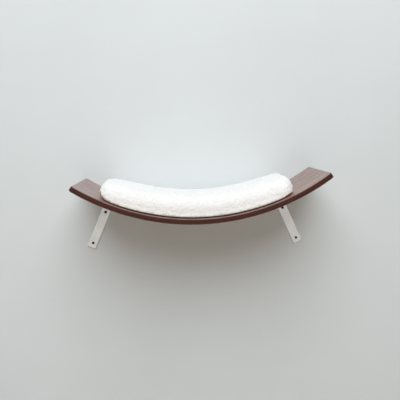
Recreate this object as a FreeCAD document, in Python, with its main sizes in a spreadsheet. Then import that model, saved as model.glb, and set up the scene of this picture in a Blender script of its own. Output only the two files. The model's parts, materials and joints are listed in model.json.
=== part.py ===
import FreeCAD, Part
import math
import os
import re
import Sketcher

# A curved wall shelf for a cat: a bent laminated board on two flat bar brackets, with a plush cushion.
# +Z is up, +X is to the right and the wall is the plane Y = 0, with the shelf on its -Y side.
# The origin is on the wall, midway between the two upper wall screws.
# Everything that follows the board's curve is drawn about one axis, the line along Y through the
# centre of that curve: a piece at angle 0 hangs straight below the axis, and a positive angle
# swings it towards +X.

SIZES = (
    ("board_chord", 602, "straight distance between the two ends, across the upper face"),
    ("board_radius", 534.5, "radius of the upper face"),
    ("board_thickness", 13, "all the plies together"),
    ("board_depth", 250, "from the rear edge to the front edge"),
    ("board_shift", 15, "how far the board lies along its curve to the right of the brackets"),
    ("board_corner", 9, "rounding of the four corners, seen from above"),
    ("board_arris", 2.5, "rounding of the upper and lower edges all round"),
    ("face_veneer", 0.9, "thickness of the upper and of the lower face veneer"),
    ("wall_gap", 1, "from the wall to the rear edge of the board"),
    ("upper_screw_spacing", 480, "between the two upper wall screws"),
    ("upper_screw_drop", 46.5, "along the leg, from the underside of the board to the upper screw"),
    ("wall_leg", 151.5, "along the leg, from the underside of the board to the leg's end"),
    ("lower_screw_margin", 13.5, "from the lower screw to the leg's end"),
    ("shelf_leg", 200, "from the wall to the front end of the leg under the board"),
    ("bar_width", 25, "width of the flat bar"),
    ("bar_thickness", 5, "thickness of the flat bar"),
    ("bend_radius", 4, "inner radius of the bend"),
    ("bar_corner", 2, "rounding of the bar's four end corners"),
    ("bar_arris", 2, "rounding of the bar's long edges"),
    ("seat_gap", 0.1, "between the flat bar and the curved underside, at their closest"),
    ("wall_screw_length", 40, "with the head"),
    ("wall_thread", 2, "outer radius of the wall screw's thread"),
    ("wall_neck", 1.8, "radius of the plain neck that passes through the bar"),
    ("wall_head", 3.4, "radius of the countersunk head"),
    ("head_sink", 0.7, "how far the head lies below the bar's face"),
    ("wall_tip", 6, "length of the pointed tip"),
    ("hole_clearance", 0.3, "between the thread and the hole in the bar"),
    ("head_clearance", 0.1, "between the head and its countersink"),
    ("recess_span", 3.8, "tip to tip of the cross recess"),
    ("recess_width", 1.1, "width of one arm of the cross recess"),
    ("recess_depth", 1.8, "depth of the cross recess"),
    ("bolt_thread", 2.5, "radius of the machine screw that holds the board"),
    ("bolt_length", 12, "under the head"),
    ("bolt_head", 4.75, "radius of the button head"),
    ("bolt_head_height", 2.75, "height of the button head"),
    ("bolt_dome", 2.2, "rounding of the button head"),
    ("bolt_clearance", 0.25, "between the machine screw and the hole in the bar"),
    ("socket_flats", 3, "across the flats of the hexagon socket"),
    ("socket_depth", 1.6, "depth of the hexagon socket"),
    ("rear_bolt", 45, "from the wall to the rear machine screw"),
    ("bolt_spacing", 120, "between the two machine screws of one bracket"),
    ("insert_radius", 4, "outer radius of the threaded insert"),
    ("insert_length", 10, "length of the threaded insert, and depth of its bore in the board"),
    ("insert_lead", 0.6, "bevel of the insert's buried end"),
    ("thread_clearance", 0.05, "between the machine screw and the insert's bore"),
    ("strip_width", 25, "width of a hook or loop strip, along the curve"),
    ("strip_length", 180, "length of a strip, from front to back"),
    ("strip_thickness", 1, "thickness of a hook or loop strip"),
    ("strip_gap", 0.3, "between a hook strip and the loop strip above it"),
    ("glue_line", 0.1, "between a strip and what it is stuck or sewn to"),
    ("strip_pitch", 150, "between neighbouring strips, along the curve"),
    ("cushion_span", 469, "straight distance between the cushion's two ends, across its base"),
    ("cushion_height", 55, "from the base to the crown, in the middle"),
    ("crown_fall", 6.5, "how much lower the crown is where the ends begin to come down"),
    ("front_inset", 8, "from the front edge of the board to the cushion"),
    ("rear_inset", 10, "from the rear edge of the board to the cushion"),
    ("waist", 2, "how far each long side is drawn in at its middle"),
    ("plan_corner", 36, "rounding of the cushion's corners, seen from above"),
    ("end_round", 52, "length over which each end comes down"),
    ("end_height", 33, "height at which each end begins to turn in towards the crown"),
    ("end_heel", 14, "rounding of each end towards the base"),
    ("heel_radius", 5, "rounding between the sides and the base"),
    ("shoulder_radius", 28, "rounding between the sides and the crown"),
    ("crown_radius", 640, "radius of the crown, from front to back"),
    ("cover_thickness", 6, "plush with its pile"),
    ("panel_thickness", 1.6, "thickness of the base panel"),
    ("fill_clearance", 0.3, "between the foam and the cover"),
    ("fill_heel", 2.5, "rounding of the foam's lower edges"),
    ("zip_span", 300, "straight distance between the two ends of the zip"),
    ("zip_height", 14, "from the cushion's base to the middle of the zip"),
    ("tape_width", 5, "seen width of each tape"),
    ("tape_thickness", 0.8, "thickness of a tape"),
    ("tape_recess", 3, "how far the tapes lie behind the pile"),
    ("coil_radius", 1.2, "radius of the closed coil"),
    ("slider_length", 9, "along the zip"),
    ("slider_width", 8, "across the zip"),
    ("slider_wall", 1.2, "thickness of the slider over the coil"),
    ("running_gap", 0.3, "between the slider and what it runs on, and round the pull"),
    ("stud_radius", 1.2, "radius of the slider's stud"),
    ("stud_head_radius", 2, "radius of the stud's head"),
    ("stud_head_height", 0.6, "height of the stud's head"),
    ("pull_length", 13, "from the stud to the free end of the pull"),
    ("pull_width", 5, "width of the pull"),
    ("pull_thickness", 1.2, "thickness of the pull"),
    ("pull_corner", 1.2, "rounding of the pull's corners"),
    ("overrun", 5, "how far a cutting solid runs past what it cuts"),
)

CORE_PLIES = 5
BOLT_DEPTHS = (("rear", "rear_bolt"), ("front", "rear_bolt + bolt_spacing"))
SIDES = (("left", -1), ("right", 1))
CLOSE_ENOUGH = 1e-4

# Stations of the cushion's form: over the quarter round of an end, as shares of its turn, and from
# there to the middle, as shares of that length.
END_SHARES = (0, 0.2, 0.4, 0.6, 0.8, 1)
MIDDLE_SHARES = (0.1, 0.25, 0.5, 0.75, 1)

UNDERSIDE = "(board_radius + board_thickness)"
BAR_TOP = f"({UNDERSIDE} + seat_gap)"
UPPER_SCREW = f"({UNDERSIDE} + upper_screw_drop)"
LOWER_SCREW = f"({UNDERSIDE} + wall_leg - lower_screw_margin)"
AXIS_HEIGHT = f"sqrt({UPPER_SCREW} ^ 2 - (upper_screw_spacing / 2) ^ 2)"
BRACKET_ANGLE = f"asin(upper_screw_spacing / 2 / {UPPER_SCREW})"
BOARD_ANGLE = "asin(board_shift / board_radius)"
HOOK_FOOT = "(board_radius - glue_line)"
HOOK_FACE = f"({HOOK_FOOT} - strip_thickness)"
LOOP_FACE = f"({HOOK_FACE} - strip_gap)"
LOOP_FOOT = f"({LOOP_FACE} - strip_thickness)"
CUSHION_BASE = f"({LOOP_FOOT} - glue_line)"
STRIP_STEP = "asin(strip_pitch / board_radius)"
HALF_WIDTH = "((board_depth - front_inset - rear_inset) / 2)"
CUSHION_MIDDLE = f"(wall_gap + rear_inset + {HALF_WIDTH})"
ZIP_CIRCLE = f"({CUSHION_BASE} - zip_height)"
TAPE_FACE = "(wall_gap + rear_inset + tape_recess)"
COIL_DEPTH = f"({TAPE_FACE} + tape_thickness / 2)"
SLIDER_TOP = "(coil_radius - tape_thickness / 2 + running_gap + slider_wall)"
PULL_FOOT = "(tape_recess + running_gap)"
SLIDER_ANGLE = f"-asin((zip_span / 2 - slider_length) / {ZIP_CIRCLE})"

document = FreeCAD.newDocument("cat_shelf")
sheet = document.addObject("Spreadsheet::Sheet", "Sizes")


def fill_sheet():
    for row, (name, value, meaning) in enumerate(SIZES, 1):
        sheet.set(f"A{row}", name)
        sheet.set(f"B{row}", str(value))
        sheet.set(f"C{row}", meaning)
        sheet.setAlias(f"B{row}", name)
    document.recompute()


def number(expression):
    value = sheet.evalExpression(expression)
    return float(getattr(value, "Value", value))


def bind(item, path, expression):
    names = "|".join(name for name, _, _ in SIZES)
    item.setExpression(path, re.sub(rf"\b({names})\b", r"Sizes.\1", expression))


def hang(item, angle=None, depth=None):
    """Put a piece drawn about the curve's axis in its place: swung by an angle, and a depth from the wall."""
    if angle:
        swing = FreeCAD.Rotation(FreeCAD.Vector(0, -1, 0), number(angle))
        item.Placement = FreeCAD.Placement(FreeCAD.Vector(), swing)
        bind(item, "Placement.Rotation.Angle", angle)
    if depth:
        bind(item, "Placement.Base.y", f"-({depth})")
    bind(item, "Placement.Base.z", AXIS_HEIGHT)


def new_body(name):
    body = document.addObject("PartDesign::Body", name)
    body.Label = name
    return body


def new_sketch(body, name, role, offset=None):
    sketch = body.newObject("Sketcher::SketchObject", f"{body.Name}_{name}")
    origin_plane = next(item for item in body.Origin.OriginFeatures if item.Role == role)
    sketch.AttachmentSupport = (origin_plane, [""])
    sketch.MapMode = "FlatFace"
    for direction, expression in (offset or {}).items():
        bind(sketch, f"AttachmentOffset.Base.{direction}", expression)
    return sketch


def fix_size(sketch, kind, *reference, to):
    index = sketch.addConstraint(Sketcher.Constraint(kind, *reference, number(to)))
    sketch.renameConstraint(index, f"size_{index}")
    bind(sketch, f"Constraints.size_{index}", to)


def fix_point(sketch, geometry, end, across, up):
    """Hold one end of a line at two sizes from the sketch's origin; None puts it on the axis."""
    for kind, axis, expression in (("DistanceX", -2, across), ("DistanceY", -1, up)):
        if expression is None:
            sketch.addConstraint(Sketcher.Constraint("PointOnObject", geometry, end, axis))
        else:
            fix_size(sketch, kind, -1, 1, geometry, end, to=expression)


def draw_outline(sketch, corners):
    """Straight lines from corner to corner; each corner is a pair of expressions."""
    places = []
    for across, up in corners:
        places.append(FreeCAD.Vector(number(across) if across else 0, number(up) if up else 0, 0))
    first = sketch.GeometryCount
    for index, place in enumerate(places):
        sketch.addGeometry(Part.LineSegment(place, places[(index + 1) % len(places)]), False)
    for index, (across, up) in enumerate(corners):
        following = first + (index + 1) % len(corners)
        sketch.addConstraint(Sketcher.Constraint("Coincident", first + index, 2, following, 1))
        fix_point(sketch, first + index, 1, across, up)


def draw_circle(sketch, across, up, radius):
    middle = FreeCAD.Vector(number(across) if across else 0, number(up) if up else 0, 0)
    circle = Part.Circle(middle, FreeCAD.Vector(0, 0, 1), number(radius))
    geometry = sketch.addGeometry(circle, False)
    fix_point(sketch, geometry, 3, across, up)
    fix_size(sketch, "Radius", geometry, to=radius)


def draw_sector(sketch, inner, outer, chord):
    """A band between two radii, hanging below the origin and as wide as the chord of its inner arc."""
    half = math.asin(number(chord) / 2 / number(inner))
    start, stop = math.radians(270) - half, math.radians(270) + half
    for radius in (inner, outer):
        circle = Part.Circle(FreeCAD.Vector(), FreeCAD.Vector(0, 0, 1), number(radius))
        arc = sketch.addGeometry(Part.ArcOfCircle(circle, start, stop), False)
        sketch.addConstraint(Sketcher.Constraint("Coincident", arc, 3, -1, 1))
        fix_size(sketch, "Radius", arc, to=radius)
    for end, angle in ((1, start), (2, stop)):
        direction = FreeCAD.Vector(math.cos(angle), math.sin(angle), 0)
        line = Part.LineSegment(direction * number(inner), direction * number(outer))
        side = sketch.addGeometry(line, False)
        sketch.addConstraint(Sketcher.Constraint("Coincident", side, 1, 0, end))
        sketch.addConstraint(Sketcher.Constraint("Coincident", side, 2, 1, end))
        sketch.addConstraint(Sketcher.Constraint("PointOnObject", -1, 1, side))
    sketch.addConstraint(Sketcher.Constraint("Horizontal", 0, 1, 0, 2))
    fix_size(sketch, "DistanceX", 0, 1, 0, 2, to=chord)


def pad(body, name, sketch, length, midplane=False, reverse=False):
    feature = body.newObject("PartDesign::Pad", f"{body.Name}_{name}")
    feature.Profile = sketch
    feature.Midplane = midplane
    feature.Reversed = reverse
    bind(feature, "Length", length)
    sketch.Visibility = False
    document.recompute()
    return feature


def pocket(body, name, sketch, depth=None, reverse=False):
    """Cut a sketch out of a body, to a depth or, with none given, right through."""
    before = body.Shape.Volume
    feature = body.newObject("PartDesign::Pocket", f"{body.Name}_{name}")
    feature.Profile = sketch
    feature.Reversed = reverse
    if depth:
        bind(feature, "Length", depth)
    else:
        feature.Type = "ThroughAll"
    sketch.Visibility = False
    document.recompute()
    if body.Shape.Volume >= before:
        raise RuntimeError(f"{feature.Name} cuts nothing")
    return feature


def turn(body, name, sketch, axis, angle=None, kind="PartDesign::Revolution"):
    """Turn a sketch about one of its axes: a full turn, or an angle that is centred on the sketch."""
    feature = body.newObject(kind, f"{body.Name}_{name}")
    feature.Profile = sketch
    feature.ReferenceAxis = (sketch, [axis])
    if angle:
        feature.Midplane = True
        bind(feature, "Angle", angle)
    else:
        feature.Angle = 360
    sketch.Visibility = False
    document.recompute()
    return feature


def round_edges(body, name, wanted, radius, kind="PartDesign::Fillet"):
    """Fillet or chamfer the edges of a body's last feature that a test picks out."""
    base = body.Tip
    picked = [f"Edge{index}" for index, edge in enumerate(base.Shape.Edges, 1) if wanted(edge)]
    if not picked:
        raise RuntimeError(f"{body.Name} has no edge for {name}")
    feature = body.newObject(kind, f"{body.Name}_{name}")
    feature.Base = (base, picked)
    bind(feature, "Radius" if kind.endswith("Fillet") else "Size", radius)
    document.recompute()
    return feature


def same(one, other):
    return abs(one - other) < CLOSE_ENOUGH


def sector_body(name, inner, outer, chord, thickness, angle=None, depth=None):
    """A band of the curve, as thick as stated towards the front."""
    body = new_body(name)
    sketch = new_sketch(body, "outline", "XZ_Plane")
    draw_sector(sketch, inner, outer, chord)
    pad(body, "band", sketch, thickness)
    hang(body, angle, depth)
    return body


def board_blank():
    """The bent board as one solid, with its corners and edges rounded."""
    body = sector_body("board_blank", "board_radius", UNDERSIDE, "board_chord", "board_depth",
                       BOARD_ANGLE, "wall_gap")

    def across_the_edge(edge):
        return edge.Curve.TypeId == "Part::GeomLine" and same(edge.Length, number("board_thickness"))

    round_edges(body, "corners", across_the_edge, "board_corner")
    round_edges(body, "arrises", lambda edge: not across_the_edge(edge), "board_arris")
    return body


def axis_cylinder(name, radius):
    """A cylinder round the curve's axis, longer than the board is deep."""
    cylinder = document.addObject("Part::Cylinder", name)
    cylinder.Placement = FreeCAD.Placement(FreeCAD.Vector(), FreeCAD.Rotation(FreeCAD.Vector(1, 0, 0), 90))
    bind(cylinder, "Radius", radius)
    bind(cylinder, "Height", "wall_gap + board_depth + 2 * overrun")
    bind(cylinder, "Placement.Base.y", "overrun")
    bind(cylinder, "Placement.Base.z", AXIS_HEIGHT)
    return cylinder


def insert_bore(name, side, depth):
    """The blind bore for one threaded insert, drilled up into the board square to its underside."""
    angle = f"{side} * {BRACKET_ANGLE}"
    start = f"({UNDERSIDE} + overrun)"
    bore = document.addObject("Part::Cylinder", name)
    swing = FreeCAD.Rotation(FreeCAD.Vector(0, -1, 0), number(angle))
    bore.Placement = FreeCAD.Placement(FreeCAD.Vector(), swing)
    bind(bore, "Radius", "insert_radius")
    bind(bore, "Height", "insert_length + overrun")
    bind(bore, "Placement.Rotation.Angle", angle)
    bind(bore, "Placement.Base.x", f"{start} * sin({angle})")
    bind(bore, "Placement.Base.y", f"-({depth})")
    bind(bore, "Placement.Base.z", f"{AXIS_HEIGHT} - {start} * cos({angle})")
    return bore


def board_plies():
    """The drilled board, parted into its veneers by cylinders round the curve's axis."""
    bores = document.addObject("Part::MultiFuse", "insert_bores")
    bores.Shapes = [insert_bore(f"bore_{side}_{place}", sign, depth)
                    for side, sign in SIDES for place, depth in BOLT_DEPTHS]
    drilled = document.addObject("Part::Cut", "board_drilled")
    drilled.Base = board_blank()
    drilled.Tool = bores
    core_ply = f"(board_thickness - 2 * face_veneer) / {CORE_PLIES}"
    names = ["upper_face_veneer"]
    names += [f"core_ply_{index}" for index in range(1, CORE_PLIES + 1)]
    names += ["lower_face_veneer"]
    inner_faces = [f"board_radius + face_veneer + {core_ply} * {index}" for index in range(CORE_PLIES + 1)]
    radii = ["board_radius - overrun"] + inner_faces + [f"{UNDERSIDE} + overrun"]
    cylinders = [axis_cylinder(f"ply_face_{index}", radius) for index, radius in enumerate(radii)]
    plies = []
    for index, name in enumerate(names):
        band = document.addObject("Part::Cut", f"{name}_band")
        band.Base = cylinders[index + 1]
        band.Tool = cylinders[index]
        ply = document.addObject("Part::Common", name)
        ply.Label = name
        ply.Base = drilled
        ply.Tool = band
        plies.append(ply)
    return plies


def bracket(side, sign):
    """A flat bar bent once: one leg on the wall, the other along the underside of the board."""
    body = new_body(f"{side}_bracket")
    front = "-bar_thickness"
    sketch = new_sketch(body, "profile", "YZ_Plane")
    draw_outline(sketch, [
        (None, f"-{BAR_TOP}"),
        ("-shelf_leg", f"-{BAR_TOP}"),
        ("-shelf_leg", f"-({BAR_TOP} + bar_thickness)"),
        (front, f"-({BAR_TOP} + bar_thickness)"),
        (front, f"-({UNDERSIDE} + wall_leg)"),
        (None, f"-({UNDERSIDE} + wall_leg)"),
    ])
    pad(body, "bar", sketch, "bar_width", midplane=True)
    bar_top, thickness = -number(BAR_TOP), number("bar_thickness")

    def bend_at(depth, height):
        def wanted(edge):
            middle = edge.CenterOfMass
            return same(edge.BoundBox.XLength, number("bar_width")) and \
                same(middle.y, depth) and same(middle.z, height)
        return wanted

    round_edges(body, "inner_bend", bend_at(-thickness, bar_top - thickness), "bend_radius")
    round_edges(body, "outer_bend", bend_at(0, bar_top), "bend_radius + bar_thickness")

    def leg_corner(edge):
        box = edge.BoundBox
        at_end = same(box.ZMin, -number(f"{UNDERSIDE} + wall_leg")) or same(box.YMin, -number("shelf_leg"))
        return at_end and same(edge.Length, thickness) and same(box.XLength, 0)

    round_edges(body, "end_corners", leg_corner, "bar_corner")

    def long_edge(edge):
        crosses_the_bar = same(edge.BoundBox.XLength, number("bar_width"))
        along_thickness = same(edge.Length, thickness) and same(edge.BoundBox.XLength, 0)
        return not crosses_the_bar and not along_thickness

    round_edges(body, "arrises", long_edge, "bar_arris")
    wall_holes = new_sketch(body, "wall_holes", "XZ_Plane")
    for circle in (UPPER_SCREW, LOWER_SCREW):
        draw_circle(wall_holes, None, f"-{circle}", "wall_thread + hole_clearance")
    pocket(body, "wall_hole_pair", wall_holes, reverse=True)

    def hole_rim(edge):
        return same(edge.CenterOfMass.y, -thickness) and \
            same(edge.Length, math.tau * number("wall_thread + hole_clearance"))

    round_edges(body, "countersinks", hole_rim,
                "wall_head + head_sink + head_clearance - wall_thread - hole_clearance",
                "PartDesign::Chamfer")
    shelf_holes = new_sketch(body, "shelf_holes", "XY_Plane")
    for _, depth in BOLT_DEPTHS:
        draw_circle(shelf_holes, None, f"-({depth})", "bolt_thread + bolt_clearance")
    pocket(body, "shelf_hole_pair", shelf_holes)
    hang(body, f"{sign} * {BRACKET_ANGLE}")
    return body


def wall_screw(height, circle, side, sign):
    """A countersunk screw through the wall leg; its thread starts at the wall."""
    body = new_body(f"{height}_{side}_wall_screw")
    profile = new_sketch(body, "profile", "YZ_Plane", {"y": f"-{circle}"})
    head_face = "(head_sink - bar_thickness)"
    draw_outline(profile, [
        (head_face, None),
        (head_face, "wall_head"),
        (f"{head_face} + wall_head - wall_neck", "wall_neck"),
        (None, "wall_neck"),
        (None, "wall_thread"),
        (f"{head_face} + wall_screw_length - wall_tip", "wall_thread"),
        (f"{head_face} + wall_screw_length", None),
    ])
    turn(body, "turned", profile, "H_Axis")
    recess = new_sketch(body, "recess", "XZ_Plane", {"y": f"-{circle}", "z": f"-{head_face}"})
    arm, half = "recess_span / 2", "recess_width / 2"
    draw_outline(recess, [
        (arm, half), (half, half), (half, arm), (f"-{half}", arm), (f"-{half}", half), (f"-{arm}", half),
        (f"-{arm}", f"-{half}"), (f"-{half}", f"-{half}"), (f"-{half}", f"-{arm}"), (half, f"-{arm}"),
        (half, f"-{half}"), (arm, f"-{half}"),
    ])
    pocket(body, "cross", recess, "recess_depth")
    hang(body, f"{sign} * {BRACKET_ANGLE}")
    return body


def shelf_screw(side, sign, place, depth):
    """A button head machine screw, up through the shelf leg into its insert."""
    body = new_body(f"{side}_{place}_shelf_screw")
    under_head = f"({BAR_TOP} + bar_thickness)"
    profile = new_sketch(body, "profile", "XZ_Plane")
    draw_outline(profile, [
        (None, f"-({under_head} + bolt_head_height)"),
        ("bolt_head", f"-({under_head} + bolt_head_height)"),
        ("bolt_head", f"-{under_head}"),
        ("bolt_thread", f"-{under_head}"),
        ("bolt_thread", f"-({under_head} - bolt_length)"),
        (None, f"-({under_head} - bolt_length)"),
    ])
    turn(body, "turned", profile, "V_Axis")
    head_face = -number(f"{under_head} + bolt_head_height")

    def head_rim(edge):
        return same(edge.BoundBox.ZMin, head_face) and same(edge.BoundBox.ZMax, head_face)

    round_edges(body, "dome", head_rim, "bolt_dome")
    socket = new_sketch(body, "socket", "XY_Plane", {"z": f"-({under_head} + bolt_head_height)"})
    corner = "socket_flats / 2 / cos(30)"
    draw_outline(socket, [
        (corner, None), (f"{corner} / 2", "socket_flats / 2"), (f"-{corner} / 2", "socket_flats / 2"),
        (f"-{corner}", None), (f"-{corner} / 2", "-socket_flats / 2"), (f"{corner} / 2", "-socket_flats / 2"),
    ])
    pocket(body, "hexagon", socket, "socket_depth", reverse=True)
    hang(body, f"{sign} * {BRACKET_ANGLE}", depth)
    return body


def threaded_insert(side, sign, place, depth):
    """The metal sleeve in the board that one machine screw goes into."""
    body = new_body(f"{side}_{place}_insert")
    inside = "bolt_thread + thread_clearance"
    profile = new_sketch(body, "profile", "XZ_Plane")
    draw_outline(profile, [
        (inside, f"-{UNDERSIDE}"),
        ("insert_radius", f"-{UNDERSIDE}"),
        ("insert_radius", f"-({UNDERSIDE} - insert_length + insert_lead)"),
        ("insert_radius - insert_lead", f"-({UNDERSIDE} - insert_length)"),
        (inside, f"-({UNDERSIDE} - insert_length)"),
    ])
    turn(body, "turned", profile, "V_Axis")
    hang(body, f"{sign} * {BRACKET_ANGLE}", depth)
    return body


def fastener_strips():
    """Three hook strips stuck to the board, each facing a loop strip sewn under the cushion."""
    depth = "wall_gap + (board_depth - strip_length) / 2"
    bodies = []
    for place, angle in (("left", f"-{STRIP_STEP}"), ("middle", None), ("right", STRIP_STEP)):
        for kind, inner, outer in (("hook", HOOK_FACE, HOOK_FOOT), ("loop", LOOP_FOOT, LOOP_FACE)):
            bodies.append(sector_body(f"{place}_{kind}_strip", inner, outer, "strip_width",
                                      "strip_length", angle, depth))
    return bodies


def curve_point(radius, angle, depth):
    """A place by its distance from the curve's axis, its angle about it and its depth from the wall."""
    return FreeCAD.Vector(radius * math.sin(angle), -depth, -radius * math.cos(angle))


def line_edge(start, stop):
    return Part.LineSegment(start, stop).toShape()


def arc_edge(start, middle, stop):
    return Part.Arc(start, middle, stop).toShape()


def loaf_section(angle, half_width, floor, top, heel, shoulder, crown):
    """One closed section of the cushion in a plane through the curve's axis. It has a flat floor,
    round heels, upright sides, round shoulders and a crown that is one large arc."""
    base, middle = number(CUSHION_BASE), number(CUSHION_MIDDLE)
    crown_centre = top - crown
    shoulder_centre = half_width - shoulder
    side_top = crown_centre + math.sqrt((crown - shoulder) ** 2 - shoulder_centre ** 2)
    lean = math.atan2(shoulder_centre, side_top - crown_centre)

    def place(across, height):
        return curve_point(base - height, angle, middle + across)

    def on_shoulder(turned):
        return shoulder_centre + shoulder * math.sin(turned), side_top + shoulder * math.cos(turned)

    def half(side):
        slant = heel * math.sqrt(0.5)
        heel_start = place(side * (half_width - heel), floor)
        heel_middle = place(side * (half_width - heel + slant), floor + heel - slant)
        heel_stop = place(side * half_width, floor + heel)
        side_stop = place(side * half_width, side_top)
        across, height = on_shoulder((math.pi / 2 + lean) / 2)
        shoulder_middle = place(side * across, height)
        across, height = on_shoulder(lean)
        shoulder_stop = place(side * across, height)
        edges = [arc_edge(heel_start, heel_middle, heel_stop), line_edge(heel_stop, side_stop),
                 arc_edge(side_stop, shoulder_middle, shoulder_stop)]
        return edges, heel_start, shoulder_stop

    front, front_floor, front_top = half(1)
    rear, rear_floor, rear_top = half(-1)
    crown_edge = arc_edge(front_top, place(0, top), rear_top)
    return Part.Wire(front + [crown_edge] + rear[::-1] + [line_edge(rear_floor, front_floor)])


def quarter_round(distance, length):
    """How far a quarter round of a length has risen, as a share, at a distance from its start."""
    return math.sqrt(1 - (1 - min(distance / length, 1)) ** 2)


def loaf(inset=0, floor=0, heel_size="heel_radius", run_on=0):
    """The cushion's form, or the same form drawn in all round by an inset and raised to a floor. It can
    run on below that floor. The crown is flatter where the form is lower."""
    base = number(CUSHION_BASE)
    half_length = base * math.asin(number("cushion_span") / 2 / base)
    end, end_height, end_heel = number("end_round"), number("end_height"), number("end_heel")
    corner, full_width, waist = number("plan_corner"), number(HALF_WIDTH), number("waist")
    height, crown_fall = number("cushion_height"), number("crown_fall")

    def section(side, distance):
        """The section at a distance from the end on one side."""
        half_width = full_width - corner * (1 - quarter_round(distance, corner))
        half_width -= waist * (distance / half_length) ** 2 + inset
        crown = height - crown_fall * (1 - distance / half_length)
        top = end_height + (crown - end_height) * quarter_round(distance, end) - inset
        low = floor + end_heel * (1 - quarter_round(distance, end_heel))
        fullness = (top - low) / (height - floor - inset)
        angle = side * (half_length - distance) * (1 - inset / half_length) / base
        return loaf_section(angle, half_width, low - run_on, top, number(heel_size) * fullness,
                            (number("shoulder_radius") - inset) * fullness,
                            (number("crown_radius") - inset) / fullness)

    distances = [end * (1 - math.cos(math.pi / 2 * share)) for share in END_SHARES]
    distances += [end + (half_length - end) * share for share in MIDDLE_SHARES]
    sections = [section(-1, distance) for distance in distances]
    sections += [section(1, distance) for distance in distances[-2::-1]]
    return Part.makeLoft(sections, True, False)


def band(inner, outer, rear, front, half_angle):
    """A band of the curve between two radii and two depths from the wall."""
    def arc(radius, direction):
        angles = (-half_angle * direction, 0, half_angle * direction)
        return arc_edge(*(curve_point(radius, angle, rear) for angle in angles))

    right_end, left_end = [
        line_edge(curve_point(inner, angle, rear), curve_point(outer, angle, rear))
        for angle in (half_angle, -half_angle)
    ]
    outline = Part.Wire([arc(inner, 1), right_end, arc(outer, -1), left_end])
    return Part.Face(outline).extrude(FreeCAD.Vector(0, rear - front, 0))


def shaped(name, shape):
    """Keep a shape drawn about the curve's axis as a piece."""
    item = document.addObject("Part::Feature", name)
    item.Label = name
    item.Shape = shape
    hang(item)
    return item


def cushion_pieces():
    """The plush cover, open below and slotted for the zip, its base panel and the foam inside."""
    base, spare = number(CUSHION_BASE), number("overrun")
    panel, cover = number("panel_thickness"), number("cover_thickness")
    clearance = number("fill_clearance")
    wide_angle = math.asin(number("board_chord / 2 / board_radius"))
    below = band(base - panel, base + spare, 0, number("wall_gap + board_depth"), wide_angle)
    outer = loaf()
    slot_half = number("coil_radius + tape_width")
    zip_circle = number(ZIP_CIRCLE)
    slot_angle = math.asin(number("zip_span") / 2 / (zip_circle - slot_half))
    slot = band(zip_circle - slot_half, zip_circle + slot_half, 0,
                number("wall_gap + rear_inset + waist + cover_thickness") + spare, slot_angle)
    cavity = loaf(cover, panel, "fill_heel", spare)
    shell = outer.cut(below).cut(cavity).cut(slot)
    return [
        shaped("plush_cover", shell),
        shaped("base_panel", outer.common(below)),
        shaped("foam_core", loaf(cover + clearance, panel + clearance, "fill_heel")),
    ]


def zip_pieces():
    """The zip on the side that faces the wall: two tapes, the closed coil, the slider and its pull."""
    tape_edge = "coil_radius + tape_width"
    tapes = [
        sector_body("upper_zip_tape", f"{ZIP_CIRCLE} - ({tape_edge})", f"{ZIP_CIRCLE} - coil_radius",
                    "zip_span", "tape_thickness", depth=TAPE_FACE),
        sector_body("lower_zip_tape", f"{ZIP_CIRCLE} + coil_radius", f"{ZIP_CIRCLE} + {tape_edge}",
                    "zip_span", "tape_thickness", depth=TAPE_FACE),
    ]
    coil = new_body("zip_coil")
    section = new_sketch(coil, "section", "YZ_Plane")
    draw_circle(section, f"-{COIL_DEPTH}", f"-{ZIP_CIRCLE}", "coil_radius")
    turn(coil, "coil", section, "H_Axis", f"2 * asin(zip_span / 2 / {ZIP_CIRCLE})")
    hang(coil)
    return tapes + [coil, zip_slider(), zip_pull()]


def zip_slider():
    """The slider rides over the coil in a channel; a headed stud on it holds the pull."""
    body = sector_body("zip_slider", f"{ZIP_CIRCLE} - slider_width / 2", f"{ZIP_CIRCLE} + slider_width / 2",
                       "slider_length", f"{SLIDER_TOP} - running_gap", SLIDER_ANGLE,
                       f"{TAPE_FACE} - {SLIDER_TOP}")
    channel = new_sketch(body, "channel", "YZ_Plane")
    draw_circle(channel, f"-({SLIDER_TOP} + tape_thickness / 2)", f"-{ZIP_CIRCLE}",
                "coil_radius + running_gap")
    before = body.Shape.Volume
    turn(body, "channel_cut", channel, "H_Axis", kind="PartDesign::Groove")
    if body.Shape.Volume >= before:
        raise RuntimeError("the slider has no channel")
    stud_length = f"({PULL_FOOT} - {SLIDER_TOP} + pull_thickness + running_gap)"
    stud = new_sketch(body, "stud", "XZ_Plane")
    draw_circle(stud, None, f"-{ZIP_CIRCLE}", "stud_radius")
    pad(body, "stud_shank", stud, stud_length, reverse=True)
    head = new_sketch(body, "stud_head", "XZ_Plane", {"z": f"-{stud_length}"})
    draw_circle(head, None, f"-{ZIP_CIRCLE}", "stud_head_radius")
    pad(body, "stud_cap", head, "stud_head_height", reverse=True)
    return body


def zip_pull():
    """A flat tab with an eye, hanging straight down from the slider's stud, clear of the pile."""
    body = new_body("zip_pull")
    half = "pull_width / 2"
    outline = new_sketch(body, "outline", "XZ_Plane")
    draw_outline(outline, [
        (half, half), (f"-{half}", half), (f"-{half}", "-pull_length"), (half, "-pull_length"),
    ])
    pad(body, "tab", outline, "pull_thickness")

    def corner(edge):
        return same(edge.Length, number("pull_thickness")) and same(edge.BoundBox.XLength, 0)

    round_edges(body, "corners", corner, "pull_corner")
    eye = new_sketch(body, "eye", "XZ_Plane")
    draw_circle(eye, None, None, "stud_radius + running_gap")
    pocket(body, "eye_hole", eye, reverse=True)
    hang(body, depth=f"{TAPE_FACE} - {PULL_FOOT} - pull_thickness")
    bind(body, "Placement.Base.x", f"{ZIP_CIRCLE} * sin({SLIDER_ANGLE})")
    bind(body, "Placement.Base.z", f"{AXIS_HEIGHT} - {ZIP_CIRCLE} * cos({SLIDER_ANGLE})")
    return body


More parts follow.
